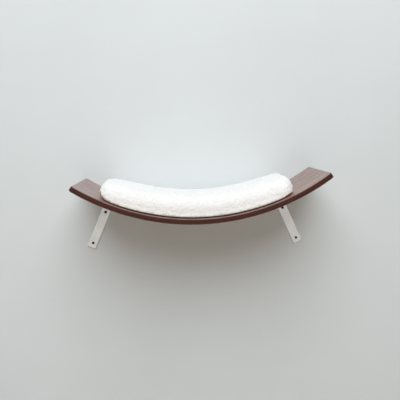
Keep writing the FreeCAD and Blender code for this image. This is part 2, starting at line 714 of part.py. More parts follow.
def check(items):
    """Stop if any object of the document failed, or any kept piece isn't a sound solid."""
    document.recompute()
    for item in document.Objects:
        if "Invalid" in item.State or "Error" in item.State:
            raise RuntimeError(f"{item.Name} failed: {item.State}")
    for item in items:
        shape = item.Shape
        if shape.isNull() or not shape.isValid() or not shape.Solids:
            raise RuntimeError(f"{item.Label} has no sound solid")


def build():
    fill_sheet()
    pieces = board_plies()
    for side, sign in SIDES:
        pieces.append(bracket(side, sign))
        for height, circle in (("upper", UPPER_SCREW), ("lower", LOWER_SCREW)):
            pieces.append(wall_screw(height, circle, side, sign))
        for place, depth in BOLT_DEPTHS:
            pieces.append(shelf_screw(side, sign, place, depth))
            pieces.append(threaded_insert(side, sign, place, depth))
    pieces += fastener_strips()
    pieces += cushion_pieces()
    pieces += zip_pieces()
    check(pieces)
    os.makedirs("parts", exist_ok=True)
    for piece in pieces:
        piece.Shape.exportStep(f"parts/{piece.Label}.step")
        print(f"{piece.Label}: {piece.Shape.Volume / 1000:.2f} cm3, {len(piece.Shape.Solids)} solid")


build()
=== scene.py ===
import json
import math
import random

import bpy
from mathutils import Matrix, Vector, noise


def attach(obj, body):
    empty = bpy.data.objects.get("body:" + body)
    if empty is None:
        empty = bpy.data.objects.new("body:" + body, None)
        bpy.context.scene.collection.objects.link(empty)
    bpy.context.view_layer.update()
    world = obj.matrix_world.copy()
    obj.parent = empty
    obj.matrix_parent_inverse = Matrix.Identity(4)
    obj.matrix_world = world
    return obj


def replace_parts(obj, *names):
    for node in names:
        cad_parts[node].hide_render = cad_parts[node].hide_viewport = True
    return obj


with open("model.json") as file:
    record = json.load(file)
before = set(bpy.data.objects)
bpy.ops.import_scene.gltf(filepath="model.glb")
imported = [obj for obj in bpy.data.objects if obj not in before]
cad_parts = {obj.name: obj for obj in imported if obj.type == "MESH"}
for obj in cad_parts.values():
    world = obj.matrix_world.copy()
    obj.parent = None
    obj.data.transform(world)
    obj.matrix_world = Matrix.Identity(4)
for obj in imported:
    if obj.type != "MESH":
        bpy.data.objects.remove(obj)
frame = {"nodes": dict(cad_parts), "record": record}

# The shelf hangs on the wall plane Y = 0, on its -Y side, with +Z up. Everything that follows the
# board's curve is drawn about one axis along Y, AXIS_HEIGHT above the origin: a place on the curve
# is a radius from that axis, an angle from straight down towards +X, and a depth from the wall.
# Lengths are in metres.

LEFT, RIGHT = -1, 1

# The board and its brackets
AXIS_HEIGHT = 0.543356
BOARD_TOP = 0.5345
BOARD_UNDERSIDE = 0.5475
BOARD_BACK = 0.001
BOARD_DEPTH = 0.250
FACE_VENEER = 0.0009
CORE_PLY = 0.00224
UPPER_SCREW_SPACING = 0.480
UPPER_SCREW_RADIUS = 0.594
LEG_LENGTH = 0.1515
LEG_END = BOARD_UNDERSIDE + LEG_LENGTH
BAR_WIDTH = 0.025

# The cushion's underside, the depth of its middle line, and its reach from there
CUSHION_BASE = 0.5320
CUSHION_DEPTH = 0.127
CUSHION_HALF_WIDTH = 0.116
CUSHION_HALF_LENGTH = 0.2427

# The zip along the cushion's rear side
ZIP_RADIUS = 0.518
ZIP_HALF_SPAN = 0.150


def on_curve(radius, angle, depth):
    return Vector((radius * math.sin(angle), -depth, AXIS_HEIGHT - radius * math.cos(angle)))


def curve_place(point):
    """The radius, angle and depth of a point."""
    drop = AXIS_HEIGHT - point.z
    return math.hypot(point.x, drop), math.atan2(point.x, drop), -point.y


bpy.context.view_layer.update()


# Finishes

def tone(red, green, blue):
    """A colour from the display values that it is seen with, 0 to 255."""
    def linear(value):
        value /= 255
        return value / 12.92 if value <= 0.04045 else ((value + 0.055) / 1.055) ** 2.4
    return linear(red), linear(green), linear(blue), 1.0


class Wire:
    """One value among the nodes. Arithmetic on it adds the Math nodes."""

    def __init__(self, nodes, socket):
        self.nodes, self.socket = nodes, socket

    def math(self, operation, *others):
        return self.nodes.math(operation, self, *others)

    def __add__(self, other):
        return self.math("ADD", other)

    def __sub__(self, other):
        return self.math("SUBTRACT", other)

    def __mul__(self, other):
        return self.math("MULTIPLY", other)

    def __truediv__(self, other):
        return self.math("DIVIDE", other)

    def __rsub__(self, other):
        return self.nodes.math("SUBTRACT", other, self)

    def __rtruediv__(self, other):
        return self.nodes.math("DIVIDE", other, self)

    __radd__ = __add__
    __rmul__ = __mul__


class Nodes:
    """The nodes of a finish or of the room's light."""

    def __init__(self, owner, ending):
        owner.use_nodes = True
        self.tree = owner.node_tree
        self.tree.nodes.clear()
        self.ending = self.tree.nodes.new("ShaderNode" + ending)

    def feed(self, socket, value):
        if isinstance(value, Wire):
            self.tree.links.new(value.socket, socket)
        else:
            socket.default_value = value

    def end_with(self, shader):
        self.feed(self.ending.inputs[0], shader)

    def add(self, kind, settings=None, sockets=None, output=0):
        """Add a node: its settings, then its sockets. Gives one output, or several by name."""
        node = self.tree.nodes.new("ShaderNode" + kind)
        for name, value in (settings or {}).items():
            if name == "stops":
                ramp = node.color_ramp.elements
                ramp[0].position, ramp[0].color = value[0]
                ramp[1].position, ramp[1].color = value[-1]
                for position, color in value[1:-1]:
                    ramp.new(position).color = color
            else:
                setattr(node, name, value)
        for name, value in (sockets or {}).items():
            self.feed(node.inputs[name], value)
        if isinstance(output, tuple):
            return [Wire(self, node.outputs[name]) for name in output]
        return Wire(self, node.outputs[output])

    def math(self, operation, *values):
        return self.add("Math", {"operation": operation}, dict(enumerate(values)))

    def ease(self, value, start, stop, low=0.0, high=1.0):
        """A value taken from one range to another, held and eased at both ends."""
        sockets = {"Value": value, 1: start, 2: stop, 3: low, 4: high}
        return self.add("MapRange", {"interpolation_type": "SMOOTHSTEP"}, sockets)


class Finish(Nodes):
    """A material: one shader and the patterns that feed it."""

    def __init__(self, name, **settings):
        self.material = bpy.data.materials.new(name)
        super().__init__(self.material, "OutputMaterial")
        self.shader = self.tree.nodes.new("ShaderNodeBsdfPrincipled")
        self.surface = Wire(self, self.shader.outputs[0])
        self.end_with(self.surface)
        self.set(**settings)

    def set(self, **values):
        """Give the shader's sockets their values or links: base_color is Base Color."""
        for name, value in values.items():
            self.feed(self.shader.inputs[name.replace("_", " ").title().replace("Ior", "IOR")], value)

    def place(self):
        """The coordinates of the object's own frame."""
        return self.add("TexCoord", output="Object")

    def board_place(self):
        """Lengths along the board's curve, across its depth and through its thickness."""
        x, y, z = self.add("SeparateXYZ", None, {0: self.place()}, ("X", "Y", "Z"))
        drop = AXIS_HEIGHT - z
        radius = (x * x + drop * drop).math("SQRT")
        along = x.math("ARCTAN2", drop) * BOARD_TOP
        return self.add("CombineXYZ", None, {0: along, 1: y, 2: radius}), radius

    def cloud(self, place, blot, detail=3.0, roughness=0.55, distortion=0.0):
        """Soft noise from 0 to 1. A blot has one length, or one along, across and through."""
        lengths = blot if isinstance(blot, tuple) else (blot, blot, blot)
        scale = tuple(1 / length for length in lengths)
        steps = self.add("VectorMath", {"operation": "MULTIPLY"}, {0: place, 1: scale}, "Vector")
        sockets = {"Vector": steps, "Scale": 1.0, "Detail": detail, "Roughness": roughness,
                   "Distortion": distortion}
        return self.add("TexNoise", None, sockets, "Fac")

    def ramp(self, value, *stops):
        return self.add("ValToRGB", {"stops": stops}, {0: value})

    def mix(self, share, one, other):
        return self.add("Mix", {"data_type": "RGBA"}, {0: share, 6: one, 7: other}, 2)

    def bump(self, height, distance, strength):
        return self.add("Bump", None, {"Height": height, "Distance": distance, "Strength": strength})


def walnut_face():
    """Open-pored walnut veneer under satin lacquer, its grain along the board."""
    finish = Finish("walnut_face", specular_ior_level=0.25, coat_weight=0.7, coat_roughness=0.26)
    place, _ = finish.board_place()
    figure = finish.cloud(place, (0.30, 0.030, 0.05), 2.0, 0.5, 0.6)
    bands = (figure * 9).math("FRACT")
    streaks = finish.cloud(place, (0.10, 0.0024, 0.01), 4.0, 0.6)
    fibres = finish.cloud(place, (0.030, 0.0007, 0.004), 2.0, 0.6)
    pores = finish.ease(finish.cloud(place, (0.009, 0.0005, 0.002), 1.0), 0.63, 0.72)
    mottle = finish.cloud(place, 0.05, 2.0)
    grain = streaks * 0.55 + bands * 0.25 + figure * 0.2
    color = finish.ramp(grain, (0.25, tone(108, 78, 69)), (0.45, tone(147, 110, 98)),
                        (0.60, tone(171, 132, 119)), (0.80, tone(190, 152, 138)))
    color = finish.mix(fibres * 0.30, color, tone(60, 37, 30))
    color = finish.mix(pores * 0.65, color, tone(38, 24, 20))
    color = finish.mix(finish.ease(mottle, 0.35, 0.7, 0.0, 0.18), color, tone(132, 98, 86))
    finish.set(base_color=color, roughness=0.36 + fibres * 0.10 + pores * 0.15,
               normal=finish.bump(fibres * 0.4 - pores, 0.00012, 0.6))
    return finish.material


def walnut_core():
    """The stained plies as the board's edge shows them: long fibres and short end grain by turns."""
    finish = Finish("walnut_core", specular_ior_level=0.25)
    place, radius = finish.board_place()
    ply = (radius - (BOARD_TOP + FACE_VENEER)) / CORE_PLY
    across_share = finish.ease((ply * 0.5).math("FRACT"), 0.48, 0.52)
    glue = finish.ease((ply.math("FRACT") - 0.5).math("ABSOLUTE"), 0.44, 0.49)
    long_fibres = finish.cloud(place, (0.040, 0.010, 0.0005), 3.0, 0.6)
    end_grain = finish.cloud(place, (0.0011, 0.020, 0.0009), 3.0, 0.65)
    streaks = finish.cloud(place, (0.060, 0.060, 0.004), 2.0)
    fibres = finish.mix(across_share, long_fibres, end_grain)
    grain = finish.add("RGBToBW", None, {0: fibres}) * 0.7 + streaks * 0.3
    color = finish.ramp(grain, (0.28, tone(40, 18, 14)), (0.50, tone(66, 31, 24)),
                        (0.75, tone(102, 51, 41)))
    color = finish.mix(across_share * 0.22, color, tone(46, 21, 17))
    color = finish.mix(glue * 0.55, color, tone(26, 13, 11))
    finish.set(base_color=color, roughness=0.42 + grain * 0.12,
               normal=finish.bump(grain - glue * 0.4, 0.00010, 0.5))
    return finish.material


def bracket_paint():
    """Light grey powder coat with a fine orange peel, rubbed a little paler in places."""
    finish = Finish("bracket_paint", metallic=0.9, coat_weight=0.2, coat_roughness=0.3)
    place = finish.place()
    peel = finish.cloud(place, 0.0011, 2.0, 0.5)
    grit = finish.cloud(place, 0.0003, 1.0)
    patches = finish.cloud(place, 0.030)
    scuffs = finish.ease(finish.cloud(place, (0.020, 0.004, 0.0015), 4.0, 0.7), 0.60, 0.72)
    color = finish.mix(finish.ease(patches, 0.3, 0.7), tone(213, 214, 213), tone(225, 226, 225))
    color = finish.mix(grit * 0.16, color, tone(194, 195, 194))
    color = finish.mix(scuffs * 0.35, color, tone(242, 240, 236))
    finish.set(base_color=color, roughness=0.40 + patches * 0.12,
               normal=finish.bump(peel + grit * 0.25, 0.00006, 0.7))
    return finish.material


def metal(name, dark, light, roughness, scratch, metallic=1.0):
    """Turned or plated metal: fine rings of tooling, light stains and a little wear."""
    finish = Finish(name, metallic=metallic)
    place = finish.place()
    stain = finish.cloud(place, 0.004)
    tooling = finish.cloud(place, (0.0040, 0.0002, 0.0040), 2.0)
    wear = finish.ease(finish.cloud(place, 0.0015, 4.0, 0.7), 0.55, 0.75)
    color = finish.mix(stain, dark, light)
    color = finish.mix(wear * scratch, color, tone(178, 176, 172))
    finish.set(base_color=color, roughness=roughness + tooling * 0.16,
               normal=finish.bump(tooling, 0.00003, 0.6))
    return finish.material


def woven(name, dark, light, warp, weft, fuzz=0.4, sheen=0.3):
    """Plain weave along the board's curve, with uneven threads."""
    finish = Finish(name, sheen_weight=sheen, sheen_roughness=0.5)
    place, _ = finish.board_place()
    uneven = finish.cloud(place, (warp * 7, weft * 7, 0.01), 2.0)
    along, across = finish.add("SeparateXYZ", None, {0: place}, ("X", "Y"))
    warps = (along * (math.tau / warp) + uneven * 2.0).math("SINE")
    wefts = (across * (math.tau / weft) + uneven * 2.0).math("SINE")
    weave = warps * wefts * 0.5 + 0.5
    lint = finish.cloud(place, 0.0018, 3.0, 0.7)
    color = finish.mix(weave * 0.6 + lint * fuzz * 0.6, dark, light)
    finish.set(base_color=color, roughness=0.78 + lint * 0.18,
               normal=finish.bump(weave + lint * fuzz, 0.00015, 0.8))
    return finish.material


def plush_finish():
    """White curly plush: the tips of the curls are white, and the creases between them, the zip slot and
    the hollows between strands are painted a darker cream as shade.
    """
    finish = Finish("plush", sheen_weight=0.25, sheen_roughness=0.45, sheen_tint=tone(255, 253, 250))
    place = finish.place()
    pile = finish.add("Attribute", {"attribute_name": "pile"}, None, "Fac")
    strands = finish.cloud(place, 0.0009, 4.0, 0.7, 0.8)
    blots = finish.cloud(place, 0.045)
    # Painted shade: darker cream where the curls are low, in the creases and in the zip slot; white on
    # the curl tips.
    color = finish.mix(finish.ease(pile, 0.05, 0.75), tone(250, 248, 245), tone(254, 254, 253))
    # Painted shade between the strands: darker cream where their bump is low.
    color = finish.mix(finish.ease(strands, 0.35, 0.75, 0.08, 0.0), color, tone(240, 235, 227))
    color = finish.mix(finish.ease(blots, 0.35, 0.75, 0.06, 0.0), color, tone(246, 242, 235))
    finish.set(base_color=color, roughness=0.86 + strands * 0.12,
               normal=finish.bump(strands, 0.0003, 0.6))
    return finish.material


FINISHES = {
    "walnut_face": walnut_face(),
    "walnut_core": walnut_core(),
    "bracket_paint": bracket_paint(),
    "wall_screw_steel": metal("wall_screw_steel", tone(22, 21, 21), tone(40, 38, 37), 0.30, 0.15, 0.8),
    "shelf_screw_steel": metal("shelf_screw_steel", tone(150, 152, 155), tone(188, 190, 193), 0.24, 0.3),
    "insert_brass": metal("insert_brass", tone(176, 142, 76), tone(206, 174, 108), 0.28, 0.2),
    "zip_metal": metal("zip_metal", tone(168, 167, 163), tone(205, 204, 200), 0.22, 0.4),
    "zip_coil": woven("zip_coil", tone(214, 211, 204), tone(240, 238, 232), 0.0016, 0.0016, 0.1, 0.1),
    "zip_tape": woven("zip_tape", tone(214, 211, 204), tone(242, 240, 235), 0.0010, 0.0008),
    "base_cloth": woven("base_cloth", tone(176, 170, 160), tone(214, 209, 200), 0.0012, 0.0014),
    "loop_tape": woven("loop_tape", tone(190, 187, 180), tone(228, 226, 220), 0.0012, 0.0010, 0.8, 0.5),
    "hook_tape": woven("hook_tape", tone(18, 18, 19), tone(44, 43, 44), 0.0011, 0.0009, 0.5, 0.2),
    "plush": plush_finish(),
}


# Making pieces

def placed(name, data):
    """A new object in the scene."""
    item = bpy.data.objects.new(name, data)
    bpy.context.scene.collection.objects.link(item)
    return item


def dress(mesh, name, slot, body, smooth=True):
    """Make a mesh a piece of the shelf, with its finish, on the body that it rides on."""
    piece = placed(name, mesh)
    mesh.materials.append(FINISHES[slot])
    mesh.polygons.foreach_set("use_smooth", [smooth] * len(mesh.polygons))
    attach(piece, body)
    return piece


def mesh_piece(name, points, faces, slot, body, smooth=True):
    """A new piece of the shelf from its points and faces."""
    mesh = bpy.data.meshes.new(name)
    mesh.from_pydata([tuple(point) for point in points], [], faces)
    mesh.update()
    return dress(mesh, name, slot, body, smooth)


def ring_faces(rings, size, start=0):
    """Faces between closed rings of points, one ring after another, and over the two ends."""
    faces = []
    for ring in range(rings - 1):
        for spot in range(size):
            one, two = start + ring * size + spot, start + ring * size + (spot + 1) % size
            faces.append((one, two, two + size, one + size))
    faces.append(tuple(range(start + size - 1, start - 1, -1)))
    faces.append(tuple(range(start + (rings - 1) * size, start + rings * size)))
    return faces


class Bundle:
    """Many small parts of one piece, gathered into one mesh."""

    def __init__(self):
        self.points, self.faces = [], []

    def tube(self, path, radii, sides):
        """A closed tube round a path, with a radius at each point of it."""
        start = len(self.points)
        across = None
        for index, spot in enumerate(path):
            ahead = path[min(index + 1, len(path) - 1)] - path[max(index - 1, 0)]
            ahead.normalize()
            if across is None:
                across = ahead.orthogonal()
            across = (across - ahead * across.dot(ahead)).normalized()
            other = ahead.cross(across)
            for side in range(sides):
                turn = math.tau * side / sides
                self.points.append(spot + across * (radii[index] * math.cos(turn)) +
                                   other * (radii[index] * math.sin(turn)))
        self.faces += ring_faces(len(path), sides, start)

    def piece(self, name, slot, body):
        return mesh_piece(name, self.points, self.faces, slot, body)


def curved_slab(name, inner, outer, half_angle, near, far, slot, body, middle=0.0, step=0.004):
    """A slab that follows the curve, from one radius to another and one depth to another."""
    rows = max(2, round(2 * half_angle * outer / step))
    columns = max(1, round((far - near) / step))
    points = []
    for row in range(rows + 1):
        angle = middle + half_angle * (2 * row / rows - 1)
        ring = [(inner, near + (far - near) * column / columns) for column in range(columns + 1)]
        ring += [(outer, depth) for _, depth in reversed(ring)]
        points += [on_curve(radius, angle, depth) for radius, depth in ring]
    faces = ring_faces(rows + 1, 2 * (columns + 1))
    return mesh_piece(name, points, faces, slot, body, smooth=False)


STITCH_SHARES = (0, 0.15, 0.85, 1)
STITCH_END_SHARE = 0.4
STITCH_SIDES = 5


def stitch_line(bundle, path, pitch, length, radius):
    """Short raised stitches along a line of points, thinner where they enter the cloth."""
    radii = (radius * STITCH_END_SHARE, radius, radius, radius * STITCH_END_SHARE)
    spare = 0.0
    for start, stop in zip(path, path[1:]):
        run = stop - start
        distance = run.length
        run.normalize()
        while spare + length < distance:
            ends = [start + run * (spare + length * share) for share in STITCH_SHARES]
            bundle.tube(ends, radii, STITCH_SIDES)
            spare += pitch
        spare = max(0.0, spare - distance)


# The cushion

# Its height, how far the crown falls towards each end, how long an end's rounding is, how far the
# end reaches past the half length, its height at the tip, the rounding of its underside, and its
# corner seen from above; then how far the sides draw in at the middle, and the radii across it.
CROWN = 0.0533
CROWN_FALL = {LEFT: 0.0115, RIGHT: 0.0095}
END_ROUND = {LEFT: 0.047, RIGHT: 0.019}
END_REACH = {LEFT: 0.0008, RIGHT: 0.0030}
END_HEIGHT = {LEFT: 0.0368, RIGHT: 0.0398}
END_HEEL = {LEFT: 0.026, RIGHT: 0.017}
PLAN_CORNER = {LEFT: 0.044, RIGHT: 0.041}
WAIST = 0.002
SHOULDER = 0.032
HEEL = 0.0045
CROWN_RADIUS = 0.760

# Room left for the swell and the pile, on the sides and top and on the underside
START_INSET = 0.0036
BASE_INSET = 0.0010

# Points round a ring, and rings along the cushion, closer together in the end zone
HEEL_STEPS, SHOULDER_STEPS, CROWN_STEPS = 4, 6, 7
END_ZONE = 0.060
END_ZONE_SHARES = (0, 0.03, 0.08, 0.15, 0.24, 0.35, 0.5, 0.65, 0.82, 1)
MIDDLE_STEPS = 14

# Filling the cover
VOXEL = 0.0037
PRESSURE = 4.0
FILL_FRAMES = 20
SWELL = 0.0032
SEWN_FACING = 0.85

# The pile: its curls, the warp that makes them uneven, and lumps of the filling under it
PILE_CURL = 0.0052
CURL_CREASE = 0.55
CURL_FULLNESS = 0.6
WARP_SIZE = 0.011
WARP_REACH = 0.0022
WARP_SHIFTS = (Vector((0, 0, 0)), Vector((7, 3, 1)), Vector((2, 9, 5)))
PILE_HEIGHT = 0.0018
LUMP_HEIGHT = 0.0010
LARGE_LUMP, SMALL_LUMP = 0.030, 0.013
SMALL_LUMP_SHARE = 0.5

# The underside is kept flat over the base cloth, up to a rim where the pile hangs a little past it.
# A pair in brackets says where a change starts and where it is complete.
FLAT_HALF_WIDTH = 0.104
FLAT_END = 0.014
FLAT_RIM = (0.001, 0.007)
FLAT_ABOVE_BASE = (0.0045, 0.0020)
FRINGE_RIM = (0.001, 0.008)
FRINGE_ABOVE_BASE = 0.0100
FRINGE_SHORT, FRINGE_CURL = 0.0004, 0.0020
FRINGE_LIMIT = 0.0015

# The slot over the zip, where the pile is pressed down and kept off the slider, and painted a darker
# cream as shade
SLOT_SIDE = (0.0055, 0.0080)
SLOT_END = (0.001, 0.006)
SLOT_DEPTH = 0.0176
SLOT_REACH = 0.03
SLOT_PRESS = 0.8
# How much the slot's curl value drops, so that the slot is painted a darker cream as shade
SLOT_PAINTED_SHADE = 0.5


def quarter_round(distance, length):
    return math.sqrt(1 - (1 - min(distance / length, 1)) ** 2)


def step_between(value, low, high):
    share = min(max((value - low) / (high - low), 0.0), 1.0)
    return share * share * (3 - 2 * share)


def heel_rise(side, distance):
    """How far the cushion's underside has risen at a distance from one end."""
    return END_HEEL[side] * (1 - quarter_round(max(distance, 0.0), END_HEEL[side]))


def loaf_ring(side, distance):
    """One closed ring round the unfilled cushion, at a distance from one end."""
    share = distance / CUSHION_HALF_LENGTH
    half_width = CUSHION_HALF_WIDTH - PLAN_CORNER[side] * (1 - quarter_round(distance, PLAN_CORNER[side]))
    half_width -= WAIST * share ** 2 + START_INSET
    crown = CROWN - CROWN_FALL[side] * (1 - share) ** 3
    rise = (crown - END_HEIGHT[side]) * quarter_round(distance, END_ROUND[side])
    top = END_HEIGHT[side] + rise - START_INSET
    low = heel_rise(side, distance) + BASE_INSET
    fullness = (top - low) / CROWN
    heel, shoulder, bow = HEEL * fullness, (SHOULDER - START_INSET) * fullness, CROWN_RADIUS * fullness
    angle = side * (CUSHION_HALF_LENGTH + END_REACH[side]) * (1 - share) / CUSHION_BASE
    edge = half_width - shoulder
    side_top = top - bow + math.sqrt((bow - shoulder) ** 2 - edge ** 2)
    lean = math.atan2(edge, side_top - top + bow)
    half = []
    for step in range(HEEL_STEPS + 1):
        turn = math.pi / 2 * step / HEEL_STEPS
        half.append((half_width - heel + heel * math.sin(turn), low + heel - heel * math.cos(turn)))
    for step in range(SHOULDER_STEPS + 1):
        turn = math.pi / 2 + (lean - math.pi / 2) * step / SHOULDER_STEPS
        half.append((edge + shoulder * math.sin(turn), side_top + shoulder * math.cos(turn)))
    for step in range(1, CROWN_STEPS):
        across = (edge + shoulder * math.sin(lean)) * (1 - step / CROWN_STEPS)
        half.append((across, top - bow + math.sqrt(bow ** 2 - across ** 2)))
    outline = half + [(0.0, top)] + [(-across, height) for across, height in reversed(half)]
    return [on_curve(CUSHION_BASE - height, angle, CUSHION_DEPTH + across) for across, height in outline]


def loaf():
    """The unfilled cushion, as rings from its left end to its right end."""
    middle = CUSHION_HALF_LENGTH - END_ZONE
    stations = [END_ZONE * share for share in END_ZONE_SHARES]
    stations += [END_ZONE + middle * step / MIDDLE_STEPS for step in range(1, MIDDLE_STEPS + 1)]
    rings = [loaf_ring(LEFT, distance) for distance in stations]
    rings += [loaf_ring(RIGHT, distance) for distance in reversed(stations[:-1])]
    points = [tuple(point) for ring in rings for point in ring]
    mesh = bpy.data.meshes.new("loaf")
    mesh.from_pydata(points, [], ring_faces(len(rings), len(rings[0])))
    return placed("working", mesh)


def evaluated_mesh(piece):
    """A new mesh from an object as its modifiers leave it."""
    graph = bpy.context.evaluated_depsgraph_get()
    graph.update()
    return bpy.data.meshes.new_from_object(piece.evaluated_get(graph))


def remeshed(piece):
    """The same form in small even faces, which the cloth can swell."""
    modifier = piece.modifiers.new("voxels", "REMESH")
    modifier.mode, modifier.voxel_size = "VOXEL", VOXEL
    mesh = evaluated_mesh(piece)
    bpy.data.objects.remove(piece)
    return placed("working", mesh)


def fill(piece):
    """Blow the cover up from its sewn underside, no point further than the swell."""
    mesh = piece.data
    axis = Vector((0, 0, AXIS_HEIGHT))
    sewn = []
    for vertex in mesh.vertices:
        down = vertex.co - axis
        down.y = 0
        if vertex.normal.dot(down.normalized()) > SEWN_FACING:
            sewn.append(vertex.index)
    start = [vertex.co.copy() for vertex in mesh.vertices]
    group = piece.vertex_groups.new(name="sewn")
    group.add(sewn, 1.0, "REPLACE")
    cloth = piece.modifiers.new("cover", "CLOTH")
    cloth.settings.use_pressure = True
    cloth.settings.uniform_pressure_force = PRESSURE
    cloth.settings.effector_weights.gravity = 0.0
    cloth.settings.vertex_group_mass = "sewn"
    cloth.point_cache.frame_start, cloth.point_cache.frame_end = 1, FILL_FRAMES
    for number in range(1, FILL_FRAMES + 1):
        bpy.context.scene.frame_set(number)
    settled = evaluated_mesh(piece)
    bpy.context.scene.frame_set(1)
    piece.modifiers.clear()
    piece.vertex_groups.clear()
    for vertex, spot, rest in zip(mesh.vertices, settled.vertices, start):
        move = spot.co - rest
        if move.length > SWELL:
            move.length = SWELL
        vertex.co = rest + move
    bpy.data.meshes.remove(settled)


def subdivided(piece):
    """The mesh of an object, smoothed, each face in four."""
    modifier = piece.modifiers.new("finer", "SUBSURF")
    modifier.levels = modifier.render_levels = 1
    mesh = evaluated_mesh(piece)
    bpy.data.objects.remove(piece)
    return mesh


def curl_height(point):
    """How high the pile's curls stand here, from 0 in a crease to 1 on a curl."""
    warp = Vector([noise.noise(point / WARP_SIZE + shift) for shift in WARP_SHIFTS])
    reach, _ = noise.voronoi((point + warp * WARP_REACH) / PILE_CURL)
    return min((reach[1] - reach[0]) / CURL_CREASE, 1.0) ** CURL_FULLNESS


def in_zip_slot(radius, angle, depth):
    """1 in the slot over the zip, 0 well outside it."""
    if depth >= SLOT_REACH:
        return 0.0
    start, stop = (ZIP_HALF_SPAN + length for length in SLOT_END)
    return (1 - step_between(abs(radius - ZIP_RADIUS), *SLOT_SIDE)) * (
        1 - step_between(abs(angle) * ZIP_RADIUS, start, stop))


def with_pile(point, normal):
    """Where the pile's surface lies over a point of the filled cover, and how high its curl is, less in
    the zip slot: the plush finish paints shade by this value.
    """
    radius, angle, depth = curve_place(point)
    from_end = CUSHION_HALF_LENGTH - abs(angle) * CUSHION_BASE
    rim = max(abs(depth - CUSHION_DEPTH) - FLAT_HALF_WIDTH, FLAT_END - from_end, 0.0)
    rise = heel_rise(LEFT if angle < 0 else RIGHT, from_end)
    start, stop = (CUSHION_BASE - height for height in FLAT_ABOVE_BASE)
    flat = step_between(radius + rise, start, stop) * (1 - step_between(rim, *FLAT_RIM))
    slot = in_zip_slot(radius, angle, depth)
    curl = curl_height(point)
    lump = noise.noise(point / LARGE_LUMP) + SMALL_LUMP_SHARE * noise.noise(point / SMALL_LUMP)
    stand = curl * PILE_HEIGHT - PILE_HEIGHT / 2 + lump * LUMP_HEIGHT
    radius, angle, depth = curve_place(point + normal * (stand * (1 - flat) * (1 - slot * SLOT_PRESS)))
    hang = step_between(radius, CUSHION_BASE - FRINGE_ABOVE_BASE, CUSHION_BASE)
    hang *= step_between(rim, *FRINGE_RIM)
    radius = min(radius + hang * (FRINGE_SHORT + FRINGE_CURL * curl), CUSHION_BASE + FRINGE_LIMIT)
    if slot > 0:
        depth = max(depth, depth + (SLOT_DEPTH - depth) * slot)
    return on_curve(radius, angle, depth), curl * (1 - SLOT_PAINTED_SHADE * slot)


def cushion_plush():
    """The plush cover, filled and with its pile."""
    work = remeshed(loaf())
    fill(work)
    mesh = subdivided(work)
    mesh.name = "cushion_plush"
    pile = [with_pile(vertex.co.copy(), vertex.normal.copy()) for vertex in mesh.vertices]
    for vertex, (point, _) in zip(mesh.vertices, pile):
        vertex.co = point
    # The pile value is the curl height, lowered in the zip slot; the plush finish paints shade by it.
    mesh.attributes.new("pile", "FLOAT", "POINT").data.foreach_set("value", [curl for _, curl in pile])
    piece = dress(mesh, "cushion_plush", "plush", "cushion")
    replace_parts(piece, "plush_cover", "foam_core")


# The base cloth, set in from the cushion's ends and sides, and its seam
BASE_END_INSET = 0.010
BASE_SIDE_INSET = 0.005
BASE_CORNER = 0.036
BASE_CORNER_STEPS, BASE_MIDDLE_STEPS, BASE_COLUMNS = 8, 16, 24
BASE_THICK = 0.0010
BASE_SUNK = 0.0014
BASE_INSIDE = CUSHION_BASE - BASE_SUNK
BASE_OUTSIDE = BASE_INSIDE + BASE_THICK
SEAM_INSET = 0.004
SEAM_PITCH, SEAM_STITCH, SEAM_THREAD = 0.0042, 0.0030, 0.00028
SEAM_STAND = 0.0001


def base_outline(inset):
    """The base cloth's stations along the curve, from left to right, with its half width at each."""
    half_length = CUSHION_HALF_LENGTH - BASE_END_INSET - inset
    half_width = CUSHION_HALF_WIDTH - BASE_SIDE_INSET - inset
    right = []
    for step in range(BASE_CORNER_STEPS + 1):
        distance = BASE_CORNER * (1 - math.cos(math.pi / 2 * step / BASE_CORNER_STEPS))
        narrower = BASE_CORNER * (1 - quarter_round(distance, BASE_CORNER))
        right.append((half_length - distance, half_width - narrower))
    inner = half_length - BASE_CORNER
    for step in range(1, BASE_MIDDLE_STEPS + 1):
        right.append((inner * (1 - step / BASE_MIDDLE_STEPS), half_width))
    return [(-along, wide) for along, wide in right[:-1]] + list(reversed(right))


def on_base(radius, along, across):
    """A point on the cushion's underside, which rises towards the ends."""
    rise = heel_rise(LEFT if along < 0 else RIGHT, CUSHION_HALF_LENGTH - abs(along))
    return on_curve(radius - rise, along / CUSHION_BASE, CUSHION_DEPTH + across)


def cloth_faces(rows, columns):
    """Faces of a cloth's two sides, one grid of points after the other, and of the rim between."""
    size = columns + 1
    lower = rows * size
    faces = []
    for row in range(rows - 1):
        for column in range(columns):
            one = row * size + column
            faces.append((one, one + size, one + size + 1, one + 1))
            faces.append((lower + one, lower + one + 1, lower + one + size + 1, lower + one + size))
    rim = [row * size for row in range(rows)]
    rim += [(rows - 1) * size + column for column in range(1, size)]
    rim += [row * size + columns for row in range(rows - 2, -1, -1)]
    rim += list(range(columns - 1, 0, -1))
    for one, two in zip(rim, rim[1:] + rim[:1]):
        faces.append((one, lower + one, lower + two, two))
    return faces


def base_stitches():
    """The stitches round the base cloth, a little inside its edge."""
    seam = base_outline(SEAM_INSET)
    far_side = [on_base(BASE_OUTSIDE + SEAM_STAND, along, -wide) for along, wide in seam]
    near_side = [on_base(BASE_OUTSIDE + SEAM_STAND, along, wide) for along, wide in reversed(seam)]
    threads = Bundle()
    stitch_line(threads, far_side + near_side + far_side[:1], SEAM_PITCH, SEAM_STITCH, SEAM_THREAD)
    return threads.piece("cushion_base_stitches", "base_cloth", "cushion")


